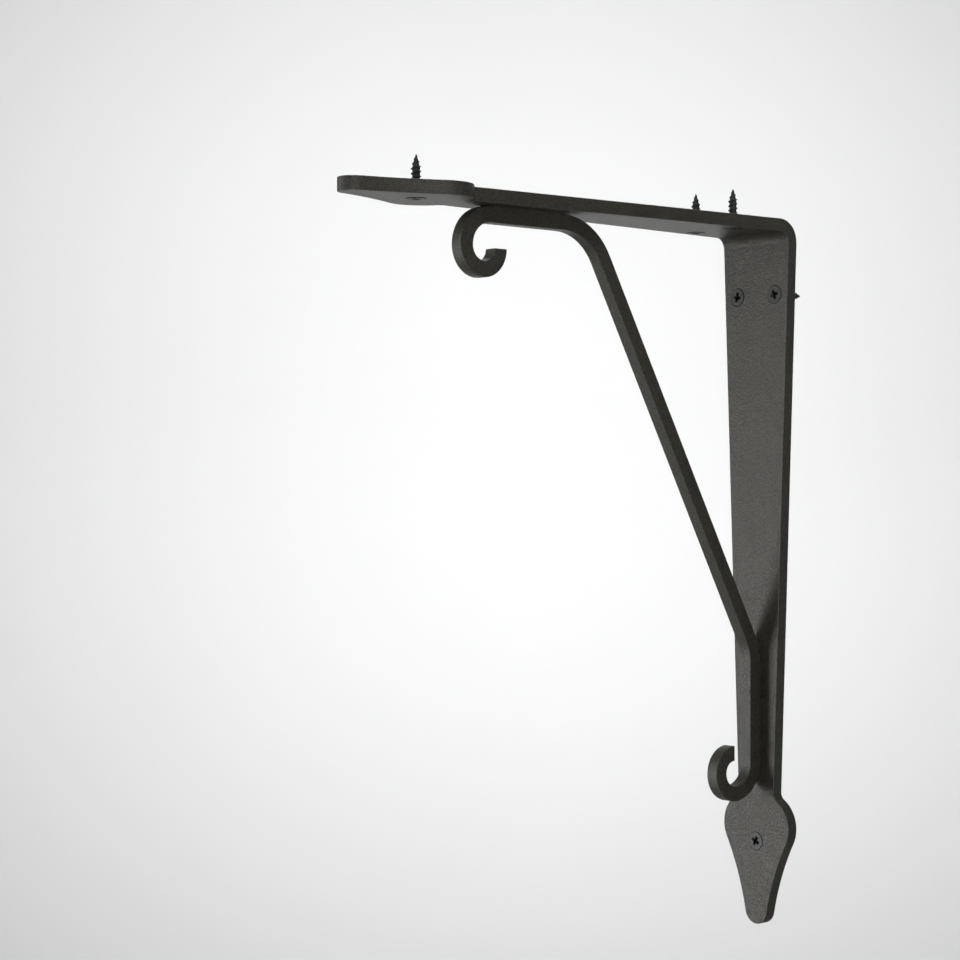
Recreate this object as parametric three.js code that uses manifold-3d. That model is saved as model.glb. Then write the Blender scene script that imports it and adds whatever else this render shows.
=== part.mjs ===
// Shelf bracket in black coated steel: a flat strap bent square, a scrolled brace and countersunk screws.
// Millimetres, +Z up. The wall is the plane Y = 0, the bracket reaches out towards -Y, its middle is X = 0.
// The origin is on the back of the wall leg, midway between the two upper wall screws.

import * as THREE from 'three';
import { mergeVertices } from 'three/addons/utils/BufferGeometryUtils.js';
import Module from 'manifold-3d';

// Strap: a flat bar with a leg on the wall and an arm under the shelf
const barThickness = 6.35;
const legLength = 355.6;
const armLength = 271.5;
const cornerWidth = 44.5;
const legNeckWidth = 23.4;
const armNeckWidth = 22;
const bendInnerRadius = 5.8;

// Spade finial, the same on the leg and on the arm
const finialWidth = 43.5;
const shoulderRadius = 16.4;
const shoulderFromTip = 49.75;
const flankRadius = 131;
const tipRadius = 7.2;
const neckFilletRadius = 4;

// Brace: a rectangular bar, with a centreline radius for each quarter turn of a scroll.
// The arm's scroll ends level with the arm's neck, and the leg's reaches a little past the leg's neck.
const braceDepth = 7.5;
const braceWidth = 6.5;
const scrollRadii = [14.3, 10.6, 9.75];
const armSeatLength = 45.7;
const legSeatLength = 51;
const legScrollPastNeck = 0.7;
const armBendRadius = 30.2;
const legBendRadius = 25;
const seatGap = 0.2;

// Screws, whose heads stand a little proud of the strap
const screwLength = 20;
const shankDiameter = 5;
const pointLength = 6;
const headDiameter = 9;
const headRimHeight = 0.4;
const headStand = 0.25;
const recessSpan = 4.9;
const recessFloorSpan = 1.9;
const recessDepth = 2.3;
const wingWidth = 1.4;
const screwClearance = 0.2;
const pairSpacing = 25;
const pairFromCorner = 37.1;
const screwFromTip = 42;
const drivenAngles = { left: -11, right: 15, finial: -26 };

// Finishes
const coatFinish = { color: 0x3b3936, roughness: 0.6, metalness: 0.2 };
const screwFinish = { color: 0x3a3d3b, roughness: 0.45, metalness: 0.6 };

// How finely round stretches are drawn, and how far a cutting shape runs past what it cuts
const chordError = 0.02;
const screwSides = 24;
const overshoot = 2;

const axisX = new THREE.Vector3(1, 0, 0);
const axisY = new THREE.Vector3(0, 1, 0);
const axisZ = new THREE.Vector3(0, 0, 1);
const outward = axisY.clone().negate();
const downward = axisZ.clone().negate();
const quarterTurn = Math.PI / 2;
const bendReach = bendInnerRadius + barThickness;
const blankHalfWidth = Math.max(finialWidth, cornerWidth) / 2 + overshoot;

const wasm = await Module();
wasm.setup();

function toSolid(geometry) {
  const bare = geometry.clone();
  bare.deleteAttribute('normal');
  bare.deleteAttribute('uv');
  const merged = mergeVertices(bare);
  return new wasm.Manifold(new wasm.Mesh({
    numProp: 3,
    vertProperties: merged.getAttribute('position').array,
    triVerts: Uint32Array.from(merged.index.array),
  }));
}

function toGeometry(solid) {
  const mesh = solid.getMesh();
  const geometry = new THREE.BufferGeometry();
  geometry.setAttribute('position', new THREE.BufferAttribute(mesh.vertProperties, 3));
  geometry.setIndex(new THREE.BufferAttribute(mesh.triVerts, 1));
  geometry.computeVertexNormals();
  return geometry;
}

function box(low, high) {
  const size = high.clone().sub(low);
  const middle = low.clone().add(high).divideScalar(2);
  return new THREE.BoxGeometry(...size).translate(...middle);
}

// Prism of an outline drawn along two axes, running from the start along their cross product
function prism(points, depth, firstAxis, secondAxis, start) {
  const geometry = new THREE.ExtrudeGeometry(new THREE.Shape(points), { depth, bevelEnabled: false });
  const depthAxis = firstAxis.clone().cross(secondAxis);
  const placing = new THREE.Matrix4().makeBasis(firstAxis, secondAxis, depthAxis).setPosition(start);
  return geometry.applyMatrix4(placing);
}

// Solid of revolution about Z, from a list of [radius, z] that goes up from the axis and back to it
function turned(profile) {
  const points = profile.map(([radius, z]) => new THREE.Vector2(radius, z));
  return new THREE.LatheGeometry(points, screwSides).rotateX(quarterTurn);
}

// Points on an arc with both ends, turning left (1) or right (-1)
function arc(centre, radius, from, to, turn) {
  const sweep = THREE.MathUtils.euclideanModulo((to - from) * turn, 4 * quarterTurn) * turn;
  const steps = Math.ceil(Math.abs(sweep) / (2 * Math.acos(1 - chordError / radius)));
  const points = [];
  for (let i = 0; i <= steps; i += 1) {
    const angle = from + sweep * i / steps;
    points.push(new THREE.Vector2(Math.cos(angle), Math.sin(angle)).multiplyScalar(radius).add(centre));
  }
  return points;
}

// Direction from one point to another, as an angle
function bearing(from, to) {
  return Math.atan2(to.y - from.y, to.x - from.x);
}

// The point at given distances from two others, on the right of the way from the first to the second
function pointAtDistances(first, firstDistance, second, secondDistance) {
  const span = first.distanceTo(second);
  const along = (span ** 2 + firstDistance ** 2 - secondDistance ** 2) / (2 * span);
  const aside = Math.sqrt(firstDistance ** 2 - along ** 2);
  const way = second.clone().sub(first).divideScalar(span);
  const right = new THREE.Vector2(way.y, -way.x);
  return first.clone().addScaledVector(way, along).addScaledVector(right, aside);
}

// Distance from the corner at which a limb's straight taper runs into the finial's shoulder
function neckDistance(length, neckWidth) {
  const fromShoulderCentre = neckWidth / 2 - (finialWidth / 2 - shoulderRadius);
  return length - shoulderFromTip - Math.sqrt(shoulderRadius ** 2 - fromShoulderCentre ** 2);
}

// Outline of one limb of the strap: x across it, y the distance from the corner
function limbOutline(length, neckWidth) {
  const corner = new THREE.Vector2(cornerWidth / 2, 0);
  const neck = new THREE.Vector2(neckWidth / 2, neckDistance(length, neckWidth));
  const shoulder = new THREE.Vector2(finialWidth / 2 - shoulderRadius, length - shoulderFromTip);
  const tip = new THREE.Vector2(0, length - tipRadius);
  const flank = pointAtDistances(shoulder, shoulderRadius + flankRadius, tip, tipRadius + flankRadius);

  // The fillet's circle touches the taper's edge and the shoulder
  const edge = neck.clone().sub(corner).normalize();
  const outside = new THREE.Vector2(edge.y, -edge.x);
  const toShoulder = shoulder.clone().sub(neck);
  const aside = neckFilletRadius - toShoulder.dot(outside);
  const back = Math.sqrt((shoulderRadius + neckFilletRadius) ** 2 - aside ** 2);
  const fillet = neck.clone()
    .addScaledVector(outside, neckFilletRadius)
    .addScaledVector(edge, toShoulder.dot(edge) - back);

  const half = [
    corner.clone().addScaledVector(edge, -overshoot),
    ...arc(fillet, neckFilletRadius, bearing(outside, new THREE.Vector2()), bearing(fillet, shoulder), -1),
    ...arc(shoulder, shoulderRadius, bearing(shoulder, fillet), bearing(shoulder, flank), 1),
    ...arc(flank, flankRadius, bearing(flank, shoulder), bearing(flank, tip), -1),
    ...arc(tip, tipRadius, bearing(tip, flank), quarterTurn, 1),
  ];
  const otherHalf = half.slice(0, -1).reverse().map((point) => new THREE.Vector2(-point.x, point.y));
  return [...half, ...otherHalf];
}

// Side view of the bent bar, from the end of the leg round the corner to the end of the arm
function bentBarProfile() {
  const bendCentre = new THREE.Vector2(-bendReach, -bendReach);
  return [
    new THREE.Vector2(-barThickness, -legLength),
    new THREE.Vector2(0, -legLength),
    ...arc(bendCentre, bendReach, 0, quarterTurn, 1),
    new THREE.Vector2(-armLength, 0),
    new THREE.Vector2(-armLength, -barThickness),
    ...arc(bendCentre, bendInnerRadius, quarterTurn, 0, -1),
  ];
}

// What is cut away beside one limb's outline, from the corner to past its tip and as deep as the bend
function limbWaste(direction, length, neckWidth) {
  const thicknessAxis = direction === outward ? axisZ : axisY;
  const corner = direction.clone().multiplyScalar(-overshoot / 2)
    .addScaledVector(axisX, -blankHalfWidth - overshoot)
    .addScaledVector(thicknessAxis, -bendReach);
  const oppositeCorner = direction.clone().multiplyScalar(length + overshoot)
    .addScaledVector(axisX, blankHalfWidth + overshoot)
    .addScaledVector(thicknessAxis, overshoot);
  const slab = box(corner.clone().min(oppositeCorner), corner.clone().max(oppositeCorner));

  const outlineReach = bendReach + overshoot;
  const start = axisX.clone().cross(direction).multiplyScalar(-outlineReach);
  const kept = prism(limbOutline(length, neckWidth), 2 * outlineReach, axisX, direction, start);
  return toSolid(slab).subtract(toSolid(kept));
}

// Screws and their holes share one frame: +Z points out of the face, which is at zero
function screwPlaces() {
  const limbs = [
    { limb: 'wall', length: legLength, faceTurn: quarterTurn, along: downward, outOfFace: outward },
    { limb: 'shelf', length: armLength, faceTurn: 2 * quarterTurn, along: outward, outOfFace: downward },
  ];
  return limbs.flatMap(({ limb, length, faceTurn, along, outOfFace }) => {
    const spots = {
      left: [-pairSpacing / 2, pairFromCorner],
      right: [pairSpacing / 2, pairFromCorner],
      finial: [0, length - screwFromTip],
    };
    return Object.entries(spots).map(([spot, [x, distance]]) => ({
      name: `${limb}_screw_${spot}`,
      position: new THREE.Vector3(x, 0, 0)
        .addScaledVector(along, distance)
        .addScaledVector(outOfFace, barThickness),
      rotation: new THREE.Euler(faceTurn, 0, THREE.MathUtils.degToRad(drivenAngles[spot]), 'XYZ'),
    }));
  });
}

function screwHole() {
  const throughRadius = shankDiameter / 2 + screwClearance;
  const mouthRadius = headDiameter / 2 + screwClearance;
  const coneTop = headStand - headRimHeight;
  return turned([
    [0, -barThickness - overshoot],
    [throughRadius, -barThickness - overshoot],
    [throughRadius, coneTop - (mouthRadius - throughRadius)],
    [mouthRadius, coneTop],
    [mouthRadius, overshoot],
    [0, overshoot],
  ]);
}

function strap() {
  const blankEdge = new THREE.Vector3(-blankHalfWidth, 0, 0);
  let solid = toSolid(prism(bentBarProfile(), 2 * blankHalfWidth, axisY, axisZ, blankEdge))
    .subtract(limbWaste(downward, legLength, legNeckWidth))
    .subtract(limbWaste(outward, armLength, armNeckWidth));
  for (const { position, rotation } of screwPlaces()) {
    const placing = new THREE.Matrix4().makeRotationFromEuler(rotation).setPosition(position);
    solid = solid.subtract(toSolid(screwHole().applyMatrix4(placing)));
  }
  return toGeometry(solid);
}

// Centreline of the brace in side view, as points with the direction to their left.
// It is walked from the tip of the upper scroll to the tip of the lower one, and every bend turns right.
function walkBrace(moves) {
  const path = [];
  let heading = -quarterTurn;
  let place = new THREE.Vector2();
  const leftOf = (angle) => new THREE.Vector2(-Math.sin(angle), Math.cos(angle));
  for (const { run = 0, radius = 0, turn = 0 } of moves) {
    if (run) {
      place = place.clone().add(new THREE.Vector2(Math.cos(heading), Math.sin(heading)).multiplyScalar(run));
      continue;
    }
    const left = leftOf(heading);
    const centre = place.clone().addScaledVector(left, -radius);
    for (const point of arc(centre, radius, bearing(centre, place), bearing(centre, place) - turn, -1)) {
      path.push({ point, left: point.clone().sub(centre).normalize() });
    }
    heading -= turn;
    place = path.at(-1).point;
  }
  return path;
}

function brace() {
  const seatHeight = barThickness + seatGap + braceDepth / 2;
  const scrollReach = scrollRadii[0] + braceDepth / 2;
  const armSeatEnd = neckDistance(armLength, armNeckWidth) - scrollReach;
  const legSeatEnd = neckDistance(legLength, legNeckWidth) + legScrollPastNeck - scrollReach;

  // The straight run touches both bends: its slope follows from where their centres lie
  const armBend = new THREE.Vector2(armSeatLength - armSeatEnd, -seatHeight - armBendRadius);
  const legBend = new THREE.Vector2(-seatHeight - legBendRadius, legSeatLength - legSeatEnd);
  const span = armBend.distanceTo(legBend);
  const slope = Math.asin((armBendRadius - legBendRadius) / span) - bearing(armBend, legBend);
  const straight = Math.sqrt(span ** 2 - (armBendRadius - legBendRadius) ** 2);

  const scroll = scrollRadii.map((radius) => ({ radius, turn: quarterTurn }));
  const path = walkBrace([
    ...scroll.toReversed(),
    { run: armSeatLength },
    { radius: armBendRadius, turn: slope },
    { run: straight },
    { radius: legBendRadius, turn: quarterTurn - slope },
    { run: legSeatLength },
    ...scroll,
  ]);

  // The walk ends anywhere, so it is moved until its runs lie on the seats of the arm and the leg
  const highest = Math.max(...path.map(({ point }) => point.y));
  const furthest = Math.max(...path.map(({ point }) => point.x));
  const shift = new THREE.Vector2(-seatHeight - furthest, -seatHeight - highest);
  const side = (offset) => path.map(
    ({ point, left }) => point.clone().add(shift).addScaledVector(left, offset),
  );
  const outline = [...side(braceDepth / 2), ...side(-braceDepth / 2).reverse()];
  return prism(outline, braceWidth, axisY, axisZ, new THREE.Vector3(-braceWidth / 2, 0, 0));
}

// Cross recess: two crossed wings that narrow to the floor
function recess() {
  const wing = (x, y) => box(
    new THREE.Vector3(-x / 2, -y / 2, -recessDepth),
    new THREE.Vector3(x / 2, y / 2, overshoot),
  );
  const funnel = turned([
    [0, -recessDepth],
    [recessFloorSpan / 2, -recessDepth],
    [recessSpan / 2, 0],
    [recessSpan / 2, overshoot],
    [0, overshoot],
  ]);
  return toSolid(wing(recessSpan, wingWidth))
    .add(toSolid(wing(wingWidth, recessSpan)))
    .intersect(toSolid(funnel));
}

function screw() {
  const headRadius = headDiameter / 2;
  const shankRadius = shankDiameter / 2;
  const body = turned([
    [0, -screwLength],
    [shankRadius, pointLength - screwLength],
    [shankRadius, -headRimHeight - (headRadius - shankRadius)],
    [headRadius, -headRimHeight],
    [headRadius, 0],
    [0, 0],
  ]);
  return toGeometry(toSolid(body).subtract(recess())).translate(0, 0, headStand);
}

function namedMesh(name, geometry, material) {
  const mesh = new THREE.Mesh(geometry, material);
  mesh.name = name;
  return mesh;
}

const powderCoat = new THREE.MeshStandardMaterial(coatFinish);
const screwCoat = new THREE.MeshStandardMaterial(screwFinish);

const bracket = new THREE.Group();
bracket.add(namedMesh('strap', strap(), powderCoat));
bracket.add(namedMesh('scroll_brace', brace(), powderCoat));
for (const { name, position, rotation } of screwPlaces()) {
  const mesh = namedMesh(name, screw(), screwCoat);
  mesh.position.copy(position);
  mesh.rotation.copy(rotation);
  bracket.add(mesh);
}

// The corner is lifted so that the origin lies level with the upper wall screws
bracket.position.z = pairFromCorner;

export default bracket;
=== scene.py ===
"""Looks of a shelf bracket: rounded bars in a grained black coat, threaded screws and a pale studio."""

import math

import bmesh
import bpy
from mathutils import Matrix, Vector


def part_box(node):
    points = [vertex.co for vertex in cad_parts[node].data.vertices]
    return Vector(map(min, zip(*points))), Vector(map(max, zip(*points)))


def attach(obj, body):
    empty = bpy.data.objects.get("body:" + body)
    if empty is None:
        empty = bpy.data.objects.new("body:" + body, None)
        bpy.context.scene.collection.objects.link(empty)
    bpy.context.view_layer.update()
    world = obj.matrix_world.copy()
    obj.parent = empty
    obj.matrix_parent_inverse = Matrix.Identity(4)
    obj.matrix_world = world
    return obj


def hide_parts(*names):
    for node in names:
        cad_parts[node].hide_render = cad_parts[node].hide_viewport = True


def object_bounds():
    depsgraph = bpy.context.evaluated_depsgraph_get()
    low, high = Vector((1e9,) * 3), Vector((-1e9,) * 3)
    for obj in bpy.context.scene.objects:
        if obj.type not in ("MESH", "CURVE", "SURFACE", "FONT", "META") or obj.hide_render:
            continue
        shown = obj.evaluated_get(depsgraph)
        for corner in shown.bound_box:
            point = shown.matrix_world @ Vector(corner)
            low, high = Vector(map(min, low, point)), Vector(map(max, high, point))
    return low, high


MM = 0.001
WELD_DISTANCE = 0.001 * MM

# Bars
BAR_THICKNESS = 6.35 * MM
EDGE_RADIUS = 0.4 * MM
EDGE_SEGMENTS = 4
RIM_RADIUS = 0.14 * MM
RIM_SEGMENTS = 2
SHARP_ANGLE = math.radians(35)
FLAT_ANGLE = math.radians(0.5)
SEAT_GAP = 0.2 * MM
SEAT_SINK = 0.05 * MM
RIM_REACH = 1.5 * MM

# Coats, and the painted shade in recesses and in the gaps round the screw heads
GRAIN_SIZE = 0.6 * MM
LUMP_SIZE = 1.2 * MM
CLOUD_SIZE = 28 * MM
PAINTED_SHADE_MARGIN = 0.03 * MM
PAINTED_SHADE_COLOUR = (0.003, 0.003, 0.003)
PAINTED_SHADE_SPECULAR = 0.03

# Screws, in a frame of their own: +Z out of the face, which is at zero
HEAD_RADIUS = 4.5 * MM
HEAD_INNER_RADIUS = 0.6 * HEAD_RADIUS
HEAD_RIM_HEIGHT = 0.4 * MM
HEAD_RIM_ROUND = 0.12 * MM
RIM_ROUND_STEPS = 4
SCREW_LENGTH = 20 * MM
CORE_RADIUS = 1.75 * MM
THREAD_RADIUS = 2.48 * MM
THREAD_PITCH = 2.2 * MM
THREAD_START = 4.6 * MM
THREAD_RUN_IN = 1.2 * MM
THREAD_SHARPNESS = 2.4
POINT_LENGTH = 6 * MM
POINT_CURVE = 0.8
AXIS_RADIUS = 0.02 * MM
RINGS_PER_PITCH = 14
SCREW_SIDES = 48
RECESS_SPAN = 4.9 * MM
RECESS_FLOOR_SPAN = 1.9 * MM
RECESS_DEPTH = 2.3 * MM
WING_WIDTH = 1.5 * MM
WING_FLOOR_WIDTH = 1.1 * MM
RECESS_EDGE = 0.07 * MM
RECESS_EDGE_SEGMENTS = 2
RECESS_REACH = 0.55 * RECESS_SPAN
CUT_ABOVE = 0.3 * RECESS_DEPTH
# Painted shade starts this far below the recess's edge and below the rim's round.
DARK_BELOW_EDGE = 0.9 * RECESS_EDGE
DARK_BELOW_RIM = 0.9 * HEAD_RIM_ROUND
DRIVEN_ANGLES = {"left": -11, "right": 15, "finial": -26}

# Camera, level and on the right of the bracket
CAMERA_PLACE = Vector((0.75324, -0.85027, -0.09337))
CAMERA_AZIMUTH = 48.8525
CAMERA_LENS = 82.97
SENSOR_WIDTH = 36

# Studio: a round dish whose floor turns up into a wall
FLOOR_DROP = 550 * MM
DISH_MIDDLE_RADIUS = 0.001
DISH_FLAT_RADIUS = 1.5
DISH_BEND_RADIUS = 0.9
DISH_WALL_HEIGHT = 1.1
DISH_SIDES = 128
DISH_BEND_STEPS = 24
PAINT_CLOUD_SIZE = 0.6

# Lights: a tall window of three panes, two lamps that shine past the bracket onto the wall, and a low fill.
# Each stands in a direction from the middle of the bracket, and shines at the middle unless it has an aim.
LAMPS = {
    "upper_pane": {"towards": Vector((-0.71, -0.62, 0.34)), "distance": 1.6, "size": 0.6, "power": 2.5},
    "middle_pane": {"towards": Vector((-0.71, -0.66, 0.04)), "distance": 1.6, "size": 0.6, "power": 4.6},
    "lower_pane": {
        "towards": Vector((-0.69, -0.70, -0.24)), "distance": 1.6, "size": 0.6, "power": 1.3,
        "aim": Vector((0, -0.01, -0.29)), "spread": 36},
    "far_wall_lamp": {
        "towards": Vector((0.46, -0.40, 0.79)), "distance": 2.2, "size": 0.8, "power": 15.5,
        "aim": Vector((-1.9, 1.6, -0.1)), "spread": 50},
    "near_wall_lamp": {
        "towards": Vector((-0.46, 0.40, 0.79)), "distance": 2.2, "size": 0.8, "power": 9,
        "aim": Vector((1.9, -1.6, -0.1)), "spread": 50},
    "fill": {
        "towards": Vector((0.90, -0.45, -0.25)), "distance": 1.7, "size": 1.0, "power": 3.1, "spread": 60},
}
SKY_STRENGTH = 0.35

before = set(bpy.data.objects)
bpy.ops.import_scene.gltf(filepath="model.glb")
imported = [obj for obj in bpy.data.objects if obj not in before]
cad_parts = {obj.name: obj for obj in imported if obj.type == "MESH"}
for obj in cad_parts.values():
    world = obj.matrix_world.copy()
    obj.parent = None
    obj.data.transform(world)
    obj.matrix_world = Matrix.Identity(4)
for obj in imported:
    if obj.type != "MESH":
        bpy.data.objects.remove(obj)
cad_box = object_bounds()
screw_nodes = [node for node in sorted(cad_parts) if "_screw_" in node]
screw_boxes = [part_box(node) for node in screw_nodes]
strap_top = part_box("strap")[1]


# Nodes of a material

def material(name, paint):
    """A node material. paint gets the node tree and the shader, and sets them up."""
    made = bpy.data.materials.new(name)
    made.use_nodes = True
    paint(made.node_tree, made.node_tree.nodes["Principled BSDF"])
    return made


def add(tree, kind, inputs=None, **settings):
    node = tree.nodes.new(kind)
    for key, value in settings.items():
        setattr(node, key, value)
    for key, value in (inputs or {}).items():
        if isinstance(value, bpy.types.NodeSocket):
            tree.links.new(value, node.inputs[key])
        else:
            node.inputs[key].default_value = value
    return node


def noise(tree, size, detail=2.0):
    """Noise whose features are about size metres across."""
    place = add(tree, "ShaderNodeTexCoord").outputs["Object"]
    inputs = {"Vector": place, "Scale": 1 / size, "Detail": detail}
    return add(tree, "ShaderNodeTexNoise", inputs).outputs["Fac"]


def remap(tree, value, low, high, to_low, to_high):
    inputs = {"Value": value, "From Min": low, "From Max": high, "To Min": to_low, "To Max": to_high}
    return add(tree, "ShaderNodeMapRange", inputs).outputs["Result"]


def mix_colours(tree, share, first, second):
    node = add(tree, "ShaderNodeMix", data_type="RGBA")
    tree.links.new(share, node.inputs["Factor"])
    for socket, value in ((node.inputs[6], first), (node.inputs[7], second)):
        if isinstance(value, bpy.types.NodeSocket):
            tree.links.new(value, socket)
        else:
            socket.default_value = (*value, 1)
    return node.outputs[2]


def calculate(tree, operation, first, second):
    return add(tree, "ShaderNodeMath", {0: first, 1: second}, operation=operation).outputs[0]


def grained_coat(dark, light, rubbed_and_highlit, roughness, specular, relief):
    """A black coat with fine grain, faint clouds, smoother edges made lighter by rubbed wear and a painted
    highlight, and near-black painted shade in hollows.
    """
    def paint(tree, shader):
        grain = noise(tree, GRAIN_SIZE)
        lumps = noise(tree, LUMP_SIZE)
        clouds = noise(tree, CLOUD_SIZE, 3.0)
        edge = add(tree, "ShaderNodeAttribute", attribute_name="edge").outputs["Fac"]
        painted_shade = add(tree, "ShaderNodeAttribute", attribute_name="painted_shade").outputs["Fac"]

        speckle = remap(tree, grain, 0.36, 0.66, 0, 1)
        coat = mix_colours(tree, speckle, dark, light)
        cloudy = remap(tree, clouds, 0.3, 0.7, 0, 0.35)
        coat = mix_colours(tree, cloudy, coat, dark)
        # Edges lighten towards the rubbed colour: rubbed wear and a painted highlight.
        rub_and_highlight = calculate(tree, "MULTIPLY", edge, remap(tree, lumps, 0.35, 0.65, 0.3, 1))
        coat = mix_colours(tree, rub_and_highlight, coat, rubbed_and_highlit)
        # Painted shade: hollows and the gaps round the screw heads turn near-black and lose most of their
        # sheen.
        tree.links.new(mix_colours(tree, painted_shade, coat, PAINTED_SHADE_COLOUR), shader.inputs["Base Color"])
        shine = remap(tree, painted_shade, 0, 1, specular, PAINTED_SHADE_SPECULAR)
        tree.links.new(shine, shader.inputs["Specular IOR Level"])

        rough = remap(tree, grain, 0.3, 0.7, roughness - 0.06, roughness + 0.08)
        smoother = calculate(tree, "MULTIPLY", rub_and_highlight, 0.06)
        tree.links.new(calculate(tree, "SUBTRACT", rough, smoother), shader.inputs["Roughness"])

        height = calculate(tree, "ADD", grain, calculate(tree, "MULTIPLY", lumps, 0.5))
        bump = add(tree, "ShaderNodeBump", {"Height": height, "Strength": 0.5, "Distance": relief})
        tree.links.new(bump.outputs["Normal"], shader.inputs["Normal"])
    return paint


# The coats, each under the name of its slot
coats = {
    # The rubbed colour on edges is rubbed wear and a painted highlight; the coat's other colours are its
    # own.
    "powder_coat": material("powder_coat", grained_coat(
        dark=(0.007, 0.0062, 0.0039), light=(0.040, 0.0358, 0.0262), rubbed_and_highlit=(0.050, 0.047, 0.041),
        roughness=0.39, specular=0.33, relief=0.7 * MM)),
    "screw_finish": material("screw_finish", grained_coat(
        dark=(0.010, 0.0115, 0.0095), light=(0.023, 0.0255, 0.0215), rubbed_and_highlit=(0.038, 0.040, 0.036),
        roughness=0.42, specular=0.19, relief=0.25 * MM)),
}


def pale_paint(tree, shader):
    tint = mix_colours(tree, noise(tree, PAINT_CLOUD_SIZE), (0.60, 0.605, 0.60), (0.63, 0.635, 0.63))
    tree.links.new(tint, shader.inputs["Base Color"])
    shader.inputs["Roughness"].default_value = 0.9
    shader.inputs["Specular IOR Level"].default_value = 0.1


# Meshes and objects

def through_rings(rings, closed=True):
    """A surface through rings of points, with a face across the first ring and, if closed, the last."""
    solid = bmesh.new()
    made = [[solid.verts.new(point) for point in ring] for ring in rings]
    for first, second in zip(made, made[1:]):
        for i in range(len(first)):
            after = (i + 1) % len(first)
            solid.faces.new((first[i], second[i], second[after], first[after]))
    solid.faces.new(made[0])
    if closed:
        solid.faces.new(made[-1][::-1])
    bmesh.ops.recalc_face_normals(solid, faces=solid.faces[:])
    return solid


def as_mesh(name, solid):
    mesh = bpy.data.meshes.new(name)
    solid.to_mesh(mesh)
    solid.free()
    return mesh


def placed(name, data):
    made = bpy.data.objects.new(name, data)
    bpy.context.scene.collection.objects.link(made)
    return made


def smooth_object(name, mesh, coat):
    mesh.materials.clear()
    mesh.materials.append(coat)
    for face in mesh.polygons:
        face.use_smooth = True
    return placed(name, mesh)


# Pieces of the bracket

def show(name, mesh, slot, replaced):
    """A piece on the one body of the bracket, in its slot's coat and in place of a CAD node."""
    piece = smooth_object(name, mesh, coats[slot])
    piece.modifiers.new("flat faces stay flat", "WEIGHTED_NORMAL").keep_sharp = False
    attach(piece, "root")
    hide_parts(replaced)


def editable(mesh):
    """The mesh for editing, with attributes for edges that are rubbed and lit by a painted highlight, and
    for hollows that get painted shade.
    """
    solid = bmesh.new()
    solid.from_mesh(mesh)
    for name in ("edge", "painted_shade"):
        solid.verts.layers.float.new(name)
    return solid


def mark(solid, name, points):
    layer = solid.verts.layers.float[name]
    for point in points:
        point[layer] = 1


def clean_solid(node):
    """The node's solid with welded points and without the edges that cross its flat faces."""
    solid = editable(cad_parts[node].data)
    bmesh.ops.remove_doubles(solid, verts=solid.verts[:], dist=WELD_DISTANCE)
    bmesh.ops.dissolve_limit(
        solid, angle_limit=FLAT_ANGLE, verts=solid.verts[:], edges=solid.edges[:], delimit=set())
    return solid


def sharp_edges(solid):
    return [e for e in solid.edges if e.is_manifold and e.calc_face_angle() > SHARP_ANGLE]


def round_edges(solid, edges, radius, segments):
    """Rounds the edges, and returns the points along the middle of the round."""
    made = bmesh.ops.bevel(
        solid, geom=edges, offset=radius, offset_type="OFFSET", segments=segments, profile=0.5,
        affect="EDGES", clamp_overlap=False)
    rounds = set(made["faces"])
    return [point for point in made["verts"] if rounds.issuperset(point.link_faces)]


def near_a_screw(place):
    for low, high in screw_boxes:
        nearest = Vector(min(max(c, l), h) for c, l, h in zip(place, low, high))
        if (place - nearest).length < RIM_REACH:
            return True
    return False


def at_a_screw(edge):
    return near_a_screw((edge.verts[0].co + edge.verts[1].co) / 2)


def in_a_hole(point):
    """Whether a point is inside the strap's thickness, on the wall of a screw hole."""
    depths = (strap_top.y - point.co.y, strap_top.z - point.co.z)
    inside = any(PAINTED_SHADE_MARGIN < depth < BAR_THICKNESS - PAINTED_SHADE_MARGIN for depth in depths)
    return inside and near_a_screw(point.co)


def strap():
    solid = clean_solid("strap")
    outer = [edge for edge in sharp_edges(solid) if not at_a_screw(edge)]
    # The outer edges are lighter and smoother: rubbed wear and a painted highlight.
    mark(solid, "edge", round_edges(solid, outer, EDGE_RADIUS, EDGE_SEGMENTS))
    rims = [edge for edge in sharp_edges(solid) if at_a_screw(edge)]
    round_edges(solid, rims, RIM_RADIUS, RIM_SEGMENTS)
    # Painted shade on the walls of the screw holes.
    mark(solid, "painted_shade", [point for point in solid.verts if in_a_hole(point)])
    show("strap_piece", as_mesh("strap_piece", solid), "powder_coat", "strap")


def brace():
    """The brace, with the two faces that it sits on brought up to the strap."""
    solid = clean_solid("scroll_brace")
    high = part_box("scroll_brace")[1]
    for point in solid.verts:
        for axis in (1, 2):
            if high[axis] - point.co[axis] < WELD_DISTANCE:
                point.co[axis] += SEAT_GAP + SEAT_SINK
    # The brace's edges are lighter and smoother: rubbed wear and a painted highlight.
    mark(solid, "edge", round_edges(solid, sharp_edges(solid), EDGE_RADIUS, EDGE_SEGMENTS))
    show("brace_piece", as_mesh("brace_piece", solid), "powder_coat", "scroll_brace")


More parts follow.
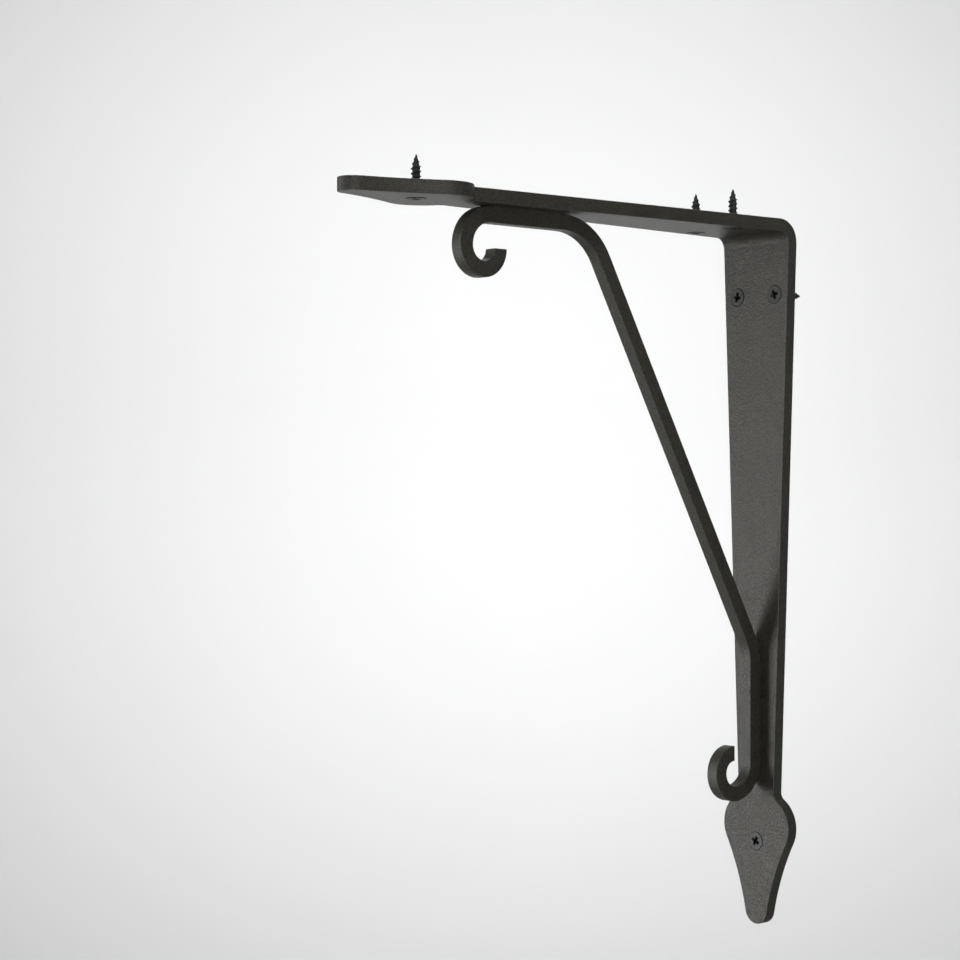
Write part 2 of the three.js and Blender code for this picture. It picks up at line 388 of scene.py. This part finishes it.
def thread_profile():
    """Rings from the middle of the head to the point, as (depth, radius, how far the thread stands out)."""
    rings = [(0, AXIS_RADIUS, 0), (0, HEAD_INNER_RADIUS, 0), (0, HEAD_RADIUS - HEAD_RIM_ROUND, 0)]
    for step in range(1, RIM_ROUND_STEPS + 1):
        angle = math.pi / 2 * step / RIM_ROUND_STEPS
        depth = HEAD_RIM_ROUND * (1 - math.cos(angle))
        rings.append((depth, HEAD_RADIUS - HEAD_RIM_ROUND * (1 - math.sin(angle)), 0))
    cone_end = HEAD_RIM_HEIGHT + HEAD_RADIUS - CORE_RADIUS
    rings += [(HEAD_RIM_HEIGHT, HEAD_RADIUS, 0), (cone_end, CORE_RADIUS, 0)]
    step = THREAD_PITCH / RINGS_PER_PITCH
    for ring in range(int((SCREW_LENGTH - THREAD_START) / step)):
        depth = THREAD_START + ring * step
        taper = min(1, (SCREW_LENGTH - depth) / POINT_LENGTH) ** POINT_CURVE
        run_in = min(1, (depth - THREAD_START) / THREAD_RUN_IN)
        rings.append((depth, CORE_RADIUS * taper, (THREAD_RADIUS - CORE_RADIUS) * taper * run_in))
    return rings + [(SCREW_LENGTH, AXIS_RADIUS, 0)]


def thread_ring(depth, radius, crest):
    """One ring of the screw, on which the thread stands out where it passes."""
    ring = []
    for side in range(SCREW_SIDES):
        turn = side / SCREW_SIDES
        phase = (depth / THREAD_PITCH + turn) % 1
        reach = radius + crest * max(0, 1 - abs(2 * phase - 1) * THREAD_SHARPNESS)
        angle = 2 * math.pi * turn
        ring.append((reach * math.cos(angle), reach * math.sin(angle), -depth))
    return ring


def cross(span, width):
    """A plus sign's corners, going round to the left."""
    a, b = span / 2, width / 2
    arm = [(a, -b), (a, b), (b, b)]
    turns = [Matrix.Rotation(math.radians(90 * i), 2) for i in range(4)]
    return [turn @ Vector(point) for turn in turns for point in arm]


def recess_rings():
    """The cross recess, drawn on past the face that it opens in."""
    rings = []
    for level in (CUT_ABOVE, -RECESS_DEPTH):
        widening = level / RECESS_DEPTH
        span = RECESS_SPAN + (RECESS_SPAN - RECESS_FLOOR_SPAN) * widening
        width = WING_WIDTH + (WING_WIDTH - WING_FLOOR_WIDTH) * widening
        rings.append([(*corner, level) for corner in cross(span, width)])
    return rings


def in_the_recess(point):
    return point.co.z > -RECESS_DEPTH - WELD_DISTANCE and point.co.xy.length < RECESS_REACH


def cut_screw():
    thread_rings = [thread_ring(*ring) for ring in thread_profile()]
    body = placed("screw_body", as_mesh("screw_body", through_rings(thread_rings)))
    recess = placed("screw_recess", as_mesh("screw_recess", through_rings(recess_rings())))
    cut = body.modifiers.new("recess", "BOOLEAN")
    cut.operation = "DIFFERENCE"
    cut.object = recess
    cut.solver = "EXACT"
    bpy.context.view_layer.update()
    graph = bpy.context.evaluated_depsgraph_get()
    mesh = bpy.data.meshes.new_from_object(body.evaluated_get(graph))
    for helper in (body, recess):
        bpy.data.objects.remove(helper)
    return mesh


def screw_mesh():
    """A countersunk wood screw, with painted shade on its recess and on its rim's side."""
    solid = editable(cut_screw())
    mouth = [
        edge for edge in sharp_edges(solid)
        if all(abs(point.co.z) < WELD_DISTANCE and in_the_recess(point) for point in edge.verts)]
    round_edges(solid, mouth, RECESS_EDGE, RECESS_EDGE_SEGMENTS)
    walls = [point for point in solid.verts if in_the_recess(point) and point.co.z < -DARK_BELOW_EDGE]
    outside = [point for point in solid.verts if point.co.xy.length > HEAD_RADIUS - HEAD_RIM_ROUND / 2]
    # The top of the rim's round is lighter: rubbed wear and a painted highlight.
    mark(solid, "edge", [point for point in outside if point.co.z > -HEAD_RIM_ROUND / 2])
    # Painted shade on the recess walls and on the rim's side below its round.
    mark(solid, "painted_shade", walls + [point for point in outside if point.co.z < -DARK_BELOW_RIM])
    return as_mesh("screw", solid)


def screws():
    pattern = screw_mesh()
    for node, (low, high) in zip(screw_nodes, screw_boxes):
        place = (low + high) / 2
        on_the_wall = node.startswith("wall")
        face_turn = math.pi / 2 if on_the_wall else math.pi
        if on_the_wall:
            place.y = low.y
        else:
            place.z = low.z
        driven = math.radians(DRIVEN_ANGLES[node.rsplit("_", 1)[1]])
        turn = Matrix.Rotation(face_turn, 4, "X") @ Matrix.Rotation(driven, 4, "Z")
        mesh = pattern.copy()
        mesh.transform(Matrix.Translation(place) @ turn)
        show(f"{node}_piece", mesh, "screw_finish", node)


# Studio

def dish():
    """Floor and wall in one smooth sweep round the bracket."""
    base = cad_box[0].z - FLOOR_DROP
    profile = [(DISH_MIDDLE_RADIUS, base), (DISH_FLAT_RADIUS, base)]
    for step in range(1, DISH_BEND_STEPS + 1):
        angle = math.pi / 2 * step / DISH_BEND_STEPS
        radius = DISH_FLAT_RADIUS + DISH_BEND_RADIUS * math.sin(angle)
        profile.append((radius, base + DISH_BEND_RADIUS * (1 - math.cos(angle))))
    profile.append((profile[-1][0], profile[-1][1] + DISH_WALL_HEIGHT))
    angles = [2 * math.pi * side / DISH_SIDES for side in range(DISH_SIDES)]
    rings = [[(radius * math.cos(a), radius * math.sin(a), z) for a in angles] for radius, z in profile]
    mesh = as_mesh("floor", through_rings(rings, closed=False))
    piece = smooth_object("floor", mesh, material("pale_paint", pale_paint))


def soft_light(name, lamp):
    data = bpy.data.lights.new(name, "AREA")
    data.shape = "SQUARE"
    data.size = lamp["size"]
    data.energy = lamp["power"]
    data.spread = math.radians(lamp.get("spread", 180))
    light = placed(name, data)
    middle = (cad_box[0] + cad_box[1]) / 2
    light.location = middle + lamp["distance"] * lamp["towards"].normalized()
    light.rotation_euler = (lamp.get("aim", middle) - light.location).to_track_quat("-Z", "Y").to_euler()
    light.visible_camera = False


def sky():
    world = bpy.data.worlds.new("sky")
    world.use_nodes = True
    background = world.node_tree.nodes["Background"]
    background.inputs["Color"].default_value = (0.98, 0.99, 1.0, 1)
    background.inputs["Strength"].default_value = SKY_STRENGTH
    bpy.context.scene.world = world


def camera():
    data = bpy.data.cameras.new("camera")
    data.lens = CAMERA_LENS
    data.sensor_width = SENSOR_WIDTH
    data.dof.use_dof = False
    made = placed("camera", data)
    made.location = CAMERA_PLACE
    made.rotation_euler = (math.pi / 2, 0, math.radians(CAMERA_AZIMUTH))
    bpy.context.scene.camera = made
    bpy.context.scene.view_settings.view_transform = "Standard"


camera()
strap()
brace()
screws()
dish()
for lamp_name, lamp in LAMPS.items():
    soft_light(lamp_name, lamp)
sky()

bpy.context.view_layer.update()
